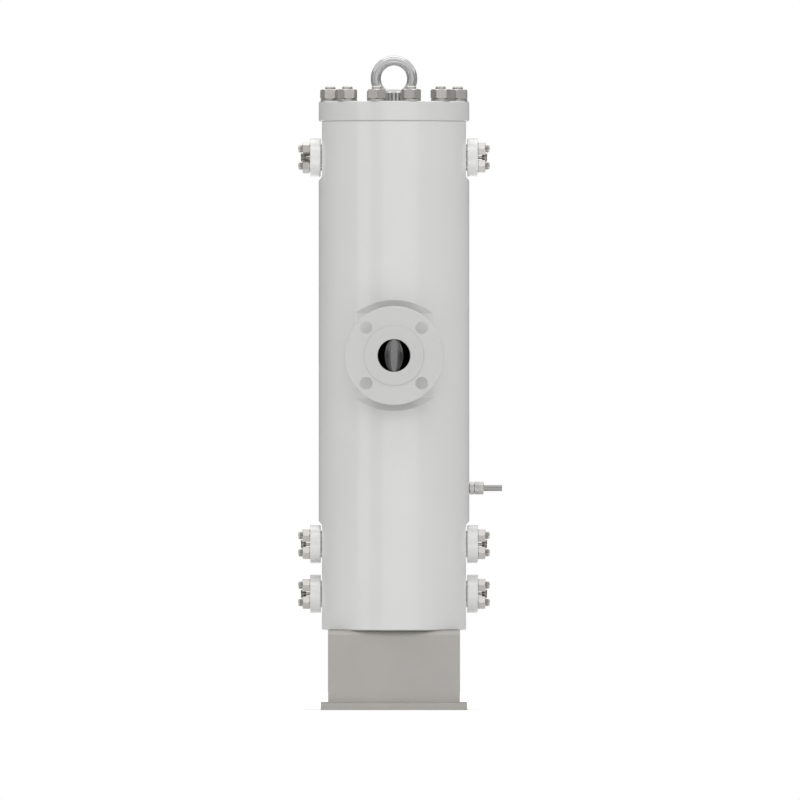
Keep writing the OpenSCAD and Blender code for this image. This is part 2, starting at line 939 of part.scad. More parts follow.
module vent_screw_right() {
    at_port(1, vent_z)
        bleed_screw_form();
}

module upper_drain_screw_left() {
    at_port(-1, upper_drain_z)
        bleed_screw_form();
}

module upper_drain_screw_right() {
    at_port(1, upper_drain_z)
        bleed_screw_form();
}

module lower_drain_screw_left() {
    at_port(-1, lower_drain_z)
        bleed_screw_form();
}

module lower_drain_screw_right() {
    at_port(1, lower_drain_z)
        bleed_screw_form();
}

module bleed_seal_form() {
    cord_r = bleed_seal_d / 2 - running_gap;
    color(rubber)
    translate([0, 0, bleed_seal_h])
        cord_ring(bleed_d / 2 - bleed_seal_d / 2, cord_r);
}

module vent_screw_seal_left() {
    at_port(-1, vent_z)
        bleed_seal_form();
}

module vent_screw_seal_right() {
    at_port(1, vent_z)
        bleed_seal_form();
}

module upper_drain_screw_seal_left() {
    at_port(-1, upper_drain_z)
        bleed_seal_form();
}

module upper_drain_screw_seal_right() {
    at_port(1, upper_drain_z)
        bleed_seal_form();
}

module lower_drain_screw_seal_left() {
    at_port(-1, lower_drain_z)
        bleed_seal_form();
}

module lower_drain_screw_seal_right() {
    at_port(1, lower_drain_z)
        bleed_seal_form();
}

// Pressure tap: a compression fitting that holds a short tube
tube_nut_wall = 3;
tap_spigot_r = collar_d / 2 - tube_nut_wall;
tap_spigot_l = tap_nut_x + tube_socket;
ferrule_l = 3;
ferrule_gap = 0.1;
ferrule_x = tap_spigot_l + ferrule_gap;

module tap_body() {
    color(steel)
    at_tap()
        difference() {
            union() {
                hexagon(tap_af, tap_body_l);
                translate([0, 0, -tap_thread_l])
                    cylinder(d = tap_thread_d, h = tap_thread_l + cut);
                cylinder(r = tap_spigot_r, h = tap_spigot_l);
            }
            translate([0, 0, -tap_thread_l - cut])
                cylinder(r = tube_bore_r, h = tap_thread_l + tap_spigot_l);
            translate([0, 0, tap_spigot_l - tube_socket])
                cylinder(r = tube_d / 2 + thread_gap, h = tube_socket + cut);
        }
}

module tap_ferrule() {
    inner_r = tube_d / 2 + thread_gap;
    thick_wall = 1.5;
    thin_wall = 0.7;
    color(steel)
    at_tap()
        translate([0, 0, ferrule_x])
            rotate_extrude()
                polygon([
                    [inner_r, 0], [inner_r + thick_wall, 0],
                    [inner_r + thin_wall, ferrule_l], [inner_r, ferrule_l],
                ]);
}

module tap_nut() {
    inner_l = ferrule_x + ferrule_l + ferrule_gap - tap_nut_x;
    color(steel)
    at_tap()
        translate([0, 0, tap_nut_x])
            difference() {
                union() {
                    cylinder(d = collar_d, h = collar_l);
                    translate([0, 0, collar_l - cut])
                        hexagon(tube_nut_af, tube_nut_l + cut);
                }
                translate([0, 0, -cut])
                    cylinder(r = tap_spigot_r + thread_gap, h = inner_l + cut);
                translate([0, 0, -cut])
                    cylinder(r = tube_d / 2 + thread_gap, h = collar_l + tube_nut_l + 2 * cut);
            }
}

module tap_tube() {
    start = tap_spigot_l - tube_socket;
    color(steel)
    at_tap()
        translate([0, 0, start])
            ring(tube_d / 2, tube_bore_r, tube_end_x - vessel_r - start);
}

// Stand: one plate bent down at the front and the back, welded to the base plate
module stand_bracket() {
    inner_r = bend_r - stand_t;
    color(stand_grey)
    difference() {
        translate([-stand_w / 2, 0, base_t])
            rotate([90, 0, 90])
                linear_extrude(height = stand_w)
                    difference() {
                        arch(stand_l, stand_h, bend_r);
                        translate([0, -cut])
                            arch(stand_l - 2 * stand_t, stand_h - stand_t + cut, inner_r);
                    }
        translate([0, 0, vessel_z - stand_t - cut])
            at_stand_bolts()
                cylinder(r = stand_bolt_d / 2 + stand_gap, h = stand_t + 2 * cut);
    }
}

// Upright shape with its two top corners rounded
module arch(w, h, r) {
    translate([-w / 2, 0])
        square([w, h - r]);
    translate([r - w / 2, h - r - cut])
        square([w - 2 * r, r + cut]);
    for (side = [-1, 1])
        translate([side * (w / 2 - r), h - r])
            circle(r = r);
}

module base_plate() {
    half = base_w / 2;
    inset = half - base_corner;
    color(stand_grey)
    difference() {
        linear_extrude(height = base_t)
            polygon([
                [-inset, -half], [inset, -half], [half, -inset], [half, inset],
                [inset, half], [-inset, half], [-half, inset], [-half, -inset],
            ]);
        for (u = [-1, 1])
            for (v = [-1, 1])
                translate([u * anchor_x / 2, v * anchor_y / 2, -cut])
                    cylinder(d = anchor_d, h = base_t + 2 * cut);
    }
}

stand_head_z = vessel_z - stand_t - stand_washer_t;

module stand_washers() {
    margin = 2.5;
    color(steel)
    translate([0, 0, stand_head_z])
        at_stand_bolts()
            ring(stand_bolt_af / 2 + margin, stand_bolt_d / 2 + stand_gap, stand_washer_t);
}

module stand_bolts() {
    chamfer = 1;
    end_gap = 2;
    shank_l = stand_washer_t + stand_t + stand_bolt_depth - end_gap;
    color(steel)
    translate([0, 0, stand_head_z])
        at_stand_bolts()
            union() {
                translate([0, 0, -stand_bolt_head_h])
                    hexagon(stand_bolt_af, stand_bolt_head_h);
                translate([0, 0, -cut])
                    rod(stand_bolt_d, shank_l + cut, chamfer);
            }
}

vessel_body();
inlet_flange();
outlet_flange();
flow_sleeve();
sleeve_seal();
outlet_spigot();
spigot_seal();
lid();
lid_seal();
lid_studs();
lid_washers();
lid_nuts();
lifting_eye();
basket_rim();
basket_tube();
basket_mesh();
basket_bottom();
basket_seal();
basket_handle();
vent_cover_left();
vent_cover_right();
upper_drain_cover_left();
upper_drain_cover_right();
lower_drain_cover_left();
lower_drain_cover_right();
port_seals();
port_studs();
port_nuts();
vent_screw_left();
vent_screw_right();
upper_drain_screw_left();
upper_drain_screw_right();
lower_drain_screw_left();
lower_drain_screw_right();
vent_screw_seal_left();
vent_screw_seal_right();
upper_drain_screw_seal_left();
upper_drain_screw_seal_right();
lower_drain_screw_seal_left();
lower_drain_screw_seal_right();
tap_body();
tap_ferrule();
tap_nut();
tap_tube();
stand_bracket();
base_plate();
stand_bolts();
stand_washers();
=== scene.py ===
import math

import bmesh
import bpy
from mathutils import Matrix, Vector


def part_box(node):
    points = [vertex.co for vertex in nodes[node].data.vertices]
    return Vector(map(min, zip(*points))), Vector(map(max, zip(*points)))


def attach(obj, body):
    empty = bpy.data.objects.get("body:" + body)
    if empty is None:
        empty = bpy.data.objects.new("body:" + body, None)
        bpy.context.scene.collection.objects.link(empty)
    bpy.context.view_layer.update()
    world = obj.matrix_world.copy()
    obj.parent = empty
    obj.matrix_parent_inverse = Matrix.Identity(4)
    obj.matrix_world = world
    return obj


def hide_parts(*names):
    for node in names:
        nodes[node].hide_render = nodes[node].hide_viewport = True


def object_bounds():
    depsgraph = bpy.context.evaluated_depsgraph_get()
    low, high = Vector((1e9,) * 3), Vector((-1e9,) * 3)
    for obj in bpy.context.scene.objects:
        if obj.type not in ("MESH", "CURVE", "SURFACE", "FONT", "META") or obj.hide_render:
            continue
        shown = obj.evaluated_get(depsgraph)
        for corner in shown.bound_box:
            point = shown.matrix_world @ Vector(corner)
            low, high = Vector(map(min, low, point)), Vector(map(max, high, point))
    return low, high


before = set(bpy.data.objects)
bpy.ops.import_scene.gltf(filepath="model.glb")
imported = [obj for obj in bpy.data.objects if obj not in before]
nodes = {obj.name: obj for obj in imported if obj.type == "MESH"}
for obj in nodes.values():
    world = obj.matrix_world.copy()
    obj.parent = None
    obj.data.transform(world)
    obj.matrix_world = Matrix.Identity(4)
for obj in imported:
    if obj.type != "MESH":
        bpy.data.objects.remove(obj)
cadLow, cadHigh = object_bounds()
scene = bpy.context.scene
print("frame loaded,", len(nodes), "nodes")

# heights and reaches of the solids, in metres
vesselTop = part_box("vessel_body")[1].z
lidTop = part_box("lid")[1].z
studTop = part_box("lid_studs")[1].z
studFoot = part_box("lid_studs")[0].z
flowHeight = (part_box("inlet_flange")[0].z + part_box("inlet_flange")[1].z) / 2
mainFace = -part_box("inlet_flange")[0].y
mainFlat = -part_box("inlet_flange")[1].y
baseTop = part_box("base_plate")[1].z


# small helpers for node trees

def addNode(tree, kind, inputs=None, **settings):
    node = tree.nodes.new("ShaderNode" + kind)
    for key, value in settings.items():
        setattr(node, key, value)
    for key, value in (inputs or {}).items():
        if isinstance(value, bpy.types.NodeSocket):
            tree.links.new(value, node.inputs[key])
        else:
            node.inputs[key].default_value = value
    return node


def calc(tree, operation, a, b=0.0):
    return addNode(tree, "Math", {0: a, 1: b}, operation=operation).outputs[0]


def ramp(tree, value, fromLow, fromHigh, toLow, toHigh):
    node = addNode(tree, "MapRange", {
        "Value": value, "From Min": fromLow, "From Max": fromHigh,
        "To Min": toLow, "To Max": toHigh})
    return node.outputs["Result"]


def mixColour(tree, factor, first, second):
    node = addNode(tree, "Mix", data_type="RGBA")
    for socket, value in ((node.inputs[0], factor), (node.inputs[6], first),
                          (node.inputs[7], second)):
        if isinstance(value, bpy.types.NodeSocket):
            tree.links.new(value, socket)
        else:
            socket.default_value = value
    return node.outputs[2]


# where most of a noise's values lie: blotches with clear edges, or a soft change of gloss
blotchSpan = (0.35, 0.65)
glossSpan = (0.3, 0.7)


def blotches(tree, cloud):
    return ramp(tree, cloud, *blotchSpan, 0.0, 1.0)


def glossOf(tree, cloud, look):
    # the cloud turned into the look's lowest to highest roughness
    return ramp(tree, cloud, *glossSpan, *look["roughness"])


def stretched(tree, place, stretch):
    return addNode(tree, "Mapping", {"Vector": place, "Scale": stretch}).outputs[0]


def noise(tree, place, size, detail=2.0, roughness=0.5):
    # size is the width of one blotch in metres
    node = addNode(tree, "TexNoise", {
        "Vector": place, "Scale": 1 / size, "Detail": detail, "Roughness": roughness})
    return node.outputs[0]


def bumped(tree, height, depth, normal=None):
    node = addNode(tree, "Bump", {"Height": height, "Distance": depth})
    if normal is not None:
        tree.links.new(normal, node.inputs["Normal"])
    return node.outputs[0]


def startMaterial(name):
    material = bpy.data.materials.new(name)
    material.use_nodes = True
    tree = material.node_tree
    tree.nodes.clear()
    output = addNode(tree, "OutputMaterial")
    place = addNode(tree, "TexCoord").outputs["Object"]
    return material, tree, output, place


# an edge starts and is full where the rounded normal leans away by these cosines
edgeLean = {"samples": 4, "start": 0.995, "full": 0.9}


def edgeMask(tree, radius):
    # a rounded normal for light on the edges, and a mask that is 1 on them
    softNormal = addNode(tree, "Bevel", {"Radius": radius}, samples=edgeLean["samples"]).outputs[0]
    flatNormal = addNode(tree, "NewGeometry").outputs["Normal"]
    dot = addNode(tree, "VectorMath", {0: softNormal, 1: flatNormal}, operation="DOT_PRODUCT")
    mask = ramp(tree, dot.outputs["Value"], edgeLean["start"], edgeLean["full"], 0.0, 1.0)
    return softNormal, mask


def reachOf(tree, u, v):
    # distance from an axis
    return calc(tree, "SQRT", calc(tree, "ADD", calc(tree, "POWER", u, 2.0),
                                   calc(tree, "POWER", v, 2.0)))


def zoneMask(tree, place, zones):
    # 1 inside any zone: round ones lie about an axis, flat ones above or below a level
    axes = addNode(tree, "SeparateXYZ", {0: place}).outputs
    total = None
    for zone in zones:
        if zone["kind"] == "round":
            first, second = [a for a in "XYZ" if a != zone["along"]]
            u = calc(tree, "SUBTRACT", axes[first], zone["middle"][0])
            v = calc(tree, "SUBTRACT", axes[second], zone["middle"][1])
            mask = calc(tree, "LESS_THAN", reachOf(tree, u, v), zone["radius"])
        else:
            side = calc(tree, "ABSOLUTE", axes[zone["along"]])
            mask = calc(tree, zone["kind"], side, zone["level"])
        total = mask if total is None else calc(tree, "MAXIMUM", total, mask)
    return total


# paint on the vessel, lid, flanges and covers

paintLook = {
    "colour": (0.715, 0.715, 0.710, 1),
    "shade": (0.695, 0.695, 0.688, 1),     # slow drift of tone over the coat
    "worn": (0.60, 0.60, 0.59, 1),         # thin coat on sharp edges
    "roughness": (0.30, 0.38),
    "specular": 0.3,
    "coat": 0.8,
    "coatRoughness": 0.12,
    "coatIndex": 1.85,
    "driftSize": 0.16,
    "glossSize": 0.03,
    "speckSize": 0.0035,
    "wornSpan": (0.5, 0.7),                # specks above the first begin to be worn
    "wornShare": 0.4,
    "peelSize": 0.0024,                    # orange peel
    "peelDepth": 0.000008,
    "edgeRadius": 0.0004,
}
# bare steel where the paint stops
bareLook = {"colour": (0.42, 0.41, 0.40, 1), "shade": (0.3, 0.295, 0.29, 1), "roughness": 0.32,
            "grainSize": 0.01, "grainStretch": (1, 1, 9), "turnPitch": 0.0006,
            "turnDepth": 0.000004}


def paintMaterial(name, bare=(), grooved=None, toneAndPaintedLight=1.0):
    # this scale on the colour sets the flange and the lid a shade darker; on the covers it sets a
    # lighter copy of the paint, which is painted light
    look = paintLook
    material, tree, output, place = startMaterial(name)
    softNormal, edges = edgeMask(tree, look["edgeRadius"])
    cloud = noise(tree, place, look["driftSize"], detail=3.0)
    speck = noise(tree, place, look["speckSize"], detail=2.0)
    first, second = [tuple(toneAndPaintedLight * c for c in look[key][:3]) + (1,) for key in ("colour", "shade")]
    colour = mixColour(tree, blotches(tree, cloud), first, second)
    worn = ramp(tree, speck, *look["wornSpan"], 0.0, look["wornShare"])
    colour = mixColour(tree, calc(tree, "MULTIPLY", edges, worn), colour, look["worn"])
    gloss = glossOf(tree, noise(tree, place, look["glossSize"], detail=4.0), look)
    peel = noise(tree, place, look["peelSize"], detail=1.0)
    normal = bumped(tree, peel, look["peelDepth"], softNormal)
    if grooved:
        # the fine spiral that a lathe leaves on a sealing face
        axes = addNode(tree, "SeparateXYZ", {0: place}).outputs
        reach = reachOf(tree, axes["X"], calc(tree, "SUBTRACT", axes["Z"], flowHeight))
        wave = calc(tree, "SINE", calc(tree, "MULTIPLY", reach, 2 * math.pi / grooved["pitch"]))
        onFace = calc(tree, "GREATER_THAN", calc(tree, "ABSOLUTE", axes["Y"]), grooved["level"])
        onFace = calc(tree, "MULTIPLY", onFace,
                      calc(tree, "LESS_THAN", reach, grooved["radius"]))
        normal = bumped(tree, calc(tree, "MULTIPLY", wave, onFace), grooved["depth"], normal)
    paint = addNode(tree, "BsdfPrincipled", {
        "Base Color": colour, "Roughness": gloss, "Normal": normal,
        "Specular IOR Level": look["specular"], "Coat Weight": look["coat"],
        "Coat Roughness": look["coatRoughness"], "Coat IOR": look["coatIndex"]})
    shader = paint.outputs[0]
    if bare:
        axes = addNode(tree, "SeparateXYZ", {0: place}).outputs
        turned = calc(tree, "SINE", calc(tree, "MULTIPLY", axes["Z"],
                                         2 * math.pi / bareLook["turnPitch"]))
        grain = noise(tree, stretched(tree, place, bareLook["grainStretch"]),
                      bareLook["grainSize"], detail=4.0)
        steel = addNode(tree, "BsdfPrincipled", {
            "Base Color": mixColour(tree, grain, bareLook["colour"], bareLook["shade"]),
            "Metallic": 1.0, "Roughness": bareLook["roughness"],
            "Normal": bumped(tree, turned, bareLook["turnDepth"], softNormal)})
        shader = addNode(tree, "MixShader", {
            0: zoneMask(tree, place, bare), 1: shader, 2: steel.outputs[0]}).outputs[0]
    tree.links.new(shader, output.inputs["Surface"])
    return material


# how deep under each machined face its bare or grooved zone reaches
skin = {"vessel": 0.0001, "lid": 0.0004, "flange": 0.0003, "cover": 0.0003}
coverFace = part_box("vent_cover_right")[0].x
# bores, a little wider than in the solids
chamber = {"kind": "round", "along": "Z", "middle": (0, 0), "radius": 0.0812}
flowBore = {"kind": "round", "along": "Y", "middle": (0, flowHeight), "radius": 0.0257}
vesselPaint = paintMaterial("vesselPaint", bare=(
    chamber, flowBore,
    {"kind": "GREATER_THAN", "along": "Z", "level": vesselTop - skin["vessel"]}))
flangePaint = paintMaterial("flangePaint", toneAndPaintedLight=0.84, bare=(flowBore,), grooved={
    "pitch": 0.0009, "level": mainFace - skin["flange"], "radius": 0.0455, "depth": 0.00006})
lidPaint = paintMaterial("lidPaint", toneAndPaintedLight=0.95, bare=(
    {"kind": "LESS_THAN", "along": "Z", "level": vesselTop + skin["lid"]},))
# the covers get the paint a little lighter: painted light
coverPaintWithPaintedLight = paintMaterial("coverPaintWithPaintedLight", toneAndPaintedLight=1.12, bare=(
    {"kind": "LESS_THAN", "along": "X", "level": coverFace + skin["cover"]},))


# bare metals

# how much of its edge colour an edge shows
rubbed = 0.5


def metalMaterial(name, look):
    material, tree, output, place = startMaterial(name)
    softNormal, edges = edgeMask(tree, look["edgeRadius"])
    drift = noise(tree, place, look["driftSize"], detail=2.0)
    colour = mixColour(tree, blotches(tree, drift), look["colour"], look["shade"])
    colour = mixColour(tree, calc(tree, "MULTIPLY", edges, rubbed), colour, look["edge"])
    grain = noise(tree, stretched(tree, place, look["grainStretch"]), look["grainSize"],
                  detail=4.0, roughness=0.6)
    gloss = glossOf(tree, grain, look)
    normal = bumped(tree, grain, look["grainDepth"], softNormal)
    if look.get("turnAlong"):
        axes = addNode(tree, "SeparateXYZ", {0: place}).outputs
        turned = calc(tree, "SINE", calc(tree, "MULTIPLY", axes[look["turnAlong"]],
                                         2 * math.pi / look["turnPitch"]))
        normal = bumped(tree, turned, look["turnDepth"], normal)
    metal = addNode(tree, "BsdfPrincipled", {
        "Base Color": colour, "Metallic": 1.0, "Roughness": gloss, "Normal": normal})
    tree.links.new(metal.outputs[0], output.inputs["Surface"])
    return material


fastenerLook = {
    "colour": (0.55, 0.533, 0.51, 1), "shade": (0.505, 0.489, 0.468, 1),
    "edge": (0.62, 0.61, 0.59, 1), "edgeRadius": 0.0004, "driftSize": 0.035,
    "roughness": (0.28, 0.38), "grainSize": 0.0012, "grainStretch": (1, 1, 1),
    "grainDepth": 0.00001,
}
forgedLook = {
    "colour": (0.55, 0.55, 0.55, 1), "shade": (0.52, 0.52, 0.52, 1),
    "edge": (0.66, 0.66, 0.66, 1), "edgeRadius": 0.0006, "driftSize": 0.02,
    "roughness": (0.15, 0.22), "grainSize": 0.004, "grainStretch": (1, 1, 1),
    "grainDepth": 0.00001,
}
fittingLook = {
    "colour": (0.60, 0.59, 0.57, 1), "shade": (0.54, 0.53, 0.51, 1),
    "edge": (0.70, 0.69, 0.67, 1), "edgeRadius": 0.0003, "driftSize": 0.02,
    "roughness": (0.34, 0.44), "grainSize": 0.002, "grainStretch": (4, 1, 1),
    "grainDepth": 0.000006, "turnAlong": "X", "turnPitch": 0.0005, "turnDepth": 0.000003,
}
stainlessLook = {
    "colour": (0.50, 0.50, 0.50, 1), "shade": (0.44, 0.44, 0.44, 1),
    "edge": (0.62, 0.62, 0.62, 1), "edgeRadius": 0.0003, "driftSize": 0.05,
    "roughness": (0.20, 0.30), "grainSize": 0.0015, "grainStretch": (1, 1, 0.04),
    "grainDepth": 0.000008,
}
zincLook = dict(fastenerLook, colour=(0.52, 0.505, 0.485, 1), shade=(0.48, 0.465, 0.445, 1),
                edge=(0.60, 0.59, 0.57, 1))
sleeveLook = dict(stainlessLook, colour=(0.23, 0.23, 0.23, 1), edge=(0.4, 0.4, 0.4, 1),
                  shade=(0.215, 0.215, 0.215, 1), roughness=(0.04, 0.08), grainDepth=0.000001)
tubeLook = dict(stainlessLook, colour=(0.31, 0.306, 0.302, 1), shade=(0.28, 0.276, 0.273, 1),
                grainStretch=(0.04, 1, 1))
tapLook = dict(fittingLook, colour=(0.50, 0.49, 0.47, 1), shade=(0.45, 0.44, 0.42, 1))
# the bleed screws get a lighter copy of the fitting steel: painted light on heads that sit in
# shade between the nuts
bleedLookPaintedLight = dict(fittingLook, colour=(0.78, 0.77, 0.75, 1), shade=(0.72, 0.71, 0.69, 1),
                 roughness=(0.14, 0.22))
fastenerSteel = metalMaterial("fastenerSteel", fastenerLook)
zincSteel = metalMaterial("zincSteel", zincLook)
forgedSteel = metalMaterial("forgedSteel", forgedLook)
fittingSteel = metalMaterial("fittingSteel", fittingLook)
tapSteel = metalMaterial("tapSteel", tapLook)
bleedSteelPaintedLight = metalMaterial("bleedSteelPaintedLight", bleedLookPaintedLight)
drawnStainless = metalMaterial("drawnStainless", stainlessLook)
sleeveSteel = metalMaterial("sleeveSteel", sleeveLook)
tubeSteel = metalMaterial("tubeSteel", tubeLook)


# woven wire of the basket, the gaps between its wires painted near black: painted shade

meshLook = {"pitch": 0.0022, "wire": (0.48, 0.48, 0.47, 1), "gap": (0.05, 0.05, 0.05, 1),
            "wireSpan": (0.55, 0.8), "radius": 0.045, "weave": 0.35, "relief": 0.0004,
            "roughness": 0.35}


def meshMaterial(name, look):
    material, tree, output, place = startMaterial(name)
    axes = addNode(tree, "SeparateXYZ", {0: place}).outputs
    turn = calc(tree, "ARCTAN2", axes["Y"], axes["X"])
    around = calc(tree, "MULTIPLY", turn, look["radius"] * math.pi / look["pitch"])
    along = calc(tree, "MULTIPLY", axes["Z"], math.pi / look["pitch"])
    warp = calc(tree, "ABSOLUTE", calc(tree, "SINE", around))
    weft = calc(tree, "ABSOLUTE", calc(tree, "SINE", along))
    wires = calc(tree, "MAXIMUM", warp, weft)
    over = calc(tree, "MULTIPLY", calc(tree, "COSINE", around), calc(tree, "COSINE", along))
    shown = ramp(tree, wires, *look["wireSpan"], 0.0, 1.0)
    # the gaps between the wires are painted near black in place of openings: painted shade
    colour = mixColour(tree, shown, look["gap"], look["wire"])
    height = calc(tree, "ADD", wires, calc(tree, "MULTIPLY", over, look["weave"]))
    metal = addNode(tree, "BsdfPrincipled", {
        "Base Color": colour, "Metallic": 1.0, "Roughness": look["roughness"],
        "Normal": bumped(tree, height, look["relief"])})
    tree.links.new(metal.outputs[0], output.inputs["Surface"])
    return material


wovenWirePaintedShade = meshMaterial("wovenWirePaintedShade", meshLook)


# matt coat of the stand

standLook = {
    "colour": (0.385, 0.368, 0.340, 1), "shade": (0.360, 0.344, 0.318, 1),
    "worn": (0.30, 0.29, 0.27, 1), "edgeRadius": 0.0006, "roughness": (0.30, 0.40),
    "coat": 0.8, "coatRoughness": 0.12, "coatIndex": 1.85, "driftSize": 0.09,
    "speckSize": 0.004, "wornSpan": (0.45, 0.6), "wornShare": 0.6, "grainSize": 0.0018,
    "grainDepth": 0.00004,
}


def standMaterial(name, look):
    material, tree, output, place = startMaterial(name)
    softNormal, edges = edgeMask(tree, look["edgeRadius"])
    cloud = noise(tree, place, look["driftSize"], detail=4.0)
    speck = noise(tree, place, look["speckSize"], detail=3.0)
    colour = mixColour(tree, blotches(tree, cloud), look["colour"], look["shade"])
    worn = ramp(tree, speck, *look["wornSpan"], 0.0, look["wornShare"])
    colour = mixColour(tree, calc(tree, "MULTIPLY", edges, worn), colour, look["worn"])
    coat = addNode(tree, "BsdfPrincipled", {
        "Base Color": colour, "Roughness": glossOf(tree, speck, look),
        "Coat Weight": look["coat"], "Coat Roughness": look["coatRoughness"],
        "Coat IOR": look["coatIndex"],
        "Normal": bumped(tree, noise(tree, place, look["grainSize"], detail=2.0),
                         look["grainDepth"], softNormal)})
    tree.links.new(coat.outputs[0], output.inputs["Surface"])
    return material


standCoat = standMaterial("standCoat", standLook)


# rubber of the seals

rubberLook = {"colour": (0.022, 0.022, 0.022, 1), "bloom": (0.05, 0.05, 0.048, 1),
              "bloomSize": 0.006, "bloomSpan": (0.45, 0.7), "roughness": (0.45, 0.7),
              "specular": 0.4,
              "grainSize": 0.0006, "grainDepth": 0.00002}


def rubberMaterial(name, look):
    material, tree, output, place = startMaterial(name)
    bloom = noise(tree, place, look["bloomSize"], detail=4.0)
    shown = ramp(tree, bloom, *look["bloomSpan"], 0.0, 1.0)
    rubber = addNode(tree, "BsdfPrincipled", {
        "Base Color": mixColour(tree, shown, look["colour"], look["bloom"]),
        "Roughness": glossOf(tree, bloom, look), "Specular IOR Level": look["specular"],
        "Normal": bumped(tree, noise(tree, place, look["grainSize"]), look["grainDepth"])})
    tree.links.new(rubber.outputs[0], output.inputs["Surface"])
    return material


sealRubber = rubberMaterial("sealRubber", rubberLook)

# each solid gets its finish

finishes = {
    "vessel_body": vesselPaint, "lid": lidPaint, "inlet_flange": flangePaint,
    "outlet_flange": flangePaint, "lifting_eye": forgedSteel, "basket_mesh": wovenWirePaintedShade,
    "stand_bracket": standCoat, "base_plate": standCoat,
}
for name in ("lid_studs", "lid_washers", "lid_nuts", "stand_bolts", "stand_washers"):
    finishes[name] = fastenerSteel
finishes["port_nuts"] = zincSteel
for name in ("outlet_spigot", "basket_rim", "basket_tube", "basket_bottom", "basket_handle"):
    finishes[name] = drawnStainless
finishes["flow_sleeve"] = sleeveSteel
finishes["tap_tube"] = tubeSteel
finishes["tap_body"] = finishes["tap_nut"] = tapSteel
for name, node in nodes.items():
    if name in finishes:
        chosen = finishes[name]
    elif "seal" in name:
        chosen = sealRubber
    elif "cover" in name:
        chosen = coverPaintWithPaintedLight
    elif "screw" in name:
        chosen = bleedSteelPaintedLight
    else:
        chosen = fittingSteel
    node.data.materials.clear()
    node.data.materials.append(chosen)
print("finishes assigned")


# making meshes

def makePiece(name, bm, material, body, smoothAngle=35):
    mesh = bpy.data.meshes.new(name)
    bmesh.ops.recalc_face_normals(bm, faces=bm.faces)
    for face in bm.faces:
        face.smooth = True
    for edge in bm.edges:
        if len(edge.link_faces) == 2 and edge.calc_face_angle(0) > math.radians(smoothAngle):
            edge.smooth = False
    bm.to_mesh(mesh)
    bm.free()
    mesh.materials.append(material)
    piece = bpy.data.objects.new(name, mesh)
    scene.collection.objects.link(piece)
    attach(piece, body)
    return piece


def addLoops(bm, loops, closed):
    # skins a list of vertex rings, each ring closed, and caps or joins the ends
    rows = [[bm.verts.new(point) for point in loop] for loop in loops]
    count = len(rows[0])
    pairs = list(zip(rows, rows[1:]))
    if closed:
        pairs.append((rows[-1], rows[0]))
    for first, second in pairs:
        for i in range(count):
            j = (i + 1) % count
            bm.faces.new((first[i], first[j], second[j], second[i]))
    if not closed:
        bm.faces.new(list(reversed(rows[0])))
        bm.faces.new(rows[-1])


def addTurned(bm, outline, place, segments=48):
    # outline holds (radius, height) pairs from one end's middle to the other's
    loops = []
    for radius, height in outline:
        loops.append([place @ Vector((radius * math.cos(2 * math.pi * i / segments),
                                      radius * math.sin(2 * math.pi * i / segments), height))
                      for i in range(segments)])
    addLoops(bm, loops, closed=False)


# in pitches: half a ridge's width at its foot and its crest, how deep it sits, its least height
ridge = {"foot": 0.42, "tip": 0.08, "sunk": 0.1, "least": 0.08}


def addThread(bm, thread, low, high, place, perTurn=20):
    # one ridge wound up a core, fading out at both ends
    pitch, crest, root = thread["pitch"], thread["crest"], thread["root"]
    turns = (high - low) / pitch
    steps = max(4, int(turns * perTurn))
    half = ridge["foot"] * pitch
    tip = ridge["tip"] * pitch
    sunk = root - ridge["sunk"] * pitch
    loops = []
    for k in range(steps + 1):
        angle = 2 * math.pi * k / perTurn
        z = low + half + (high - low - 2 * half) * k / steps
        fade = min(1.0, 2 * k / perTurn, 2 * (steps - k) / perTurn)
        top = sunk + max(ridge["least"] * pitch, (crest - sunk) * fade)
        section = ((sunk, z - half), (top, z - tip), (top, z + tip), (sunk, z + half))
        loops.append([place @ Vector((r * math.cos(angle), r * math.sin(angle), h))
                      for r, h in section])
    addLoops(bm, loops, closed=False)


# lid studs with real threads

lidStud = {"count": 12, "circle": 0.1015, "crest": 0.008, "root": 0.0068, "pitch": 0.002,
           "chamfer": 0.0018, "plainEnd": 0.0055, "threadBelowTop": 0.052, "runOut": 0.001}
bm = bmesh.new()
threadFoot = studTop - lidStud["threadBelowTop"]
plainFoot = studTop - lidStud["plainEnd"]
root, crest, bite = lidStud["root"], lidStud["crest"], lidStud["chamfer"]
for i in range(lidStud["count"]):
    turn = (i + 0.5) * 2 * math.pi / lidStud["count"]
    place = Matrix.Rotation(turn, 4, "Z") @ Matrix.Translation((lidStud["circle"], 0, 0))
    addTurned(bm, [
        (crest - bite, studFoot), (crest, studFoot + bite), (crest, threadFoot),
        (root, threadFoot + lidStud["runOut"]), (root, plainFoot),
        (crest, plainFoot + lidStud["runOut"]), (crest, studTop - bite),
        (crest - bite, studTop)], place, segments=32)
    addThread(bm, lidStud, threadFoot, plainFoot + lidStud["runOut"] / 2, place)
lidStudPiece = makePiece("lidStuds", bm, fastenerSteel, "vessel")
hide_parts("lid_studs")
print("lid studs threaded")

# cover studs, four to each port

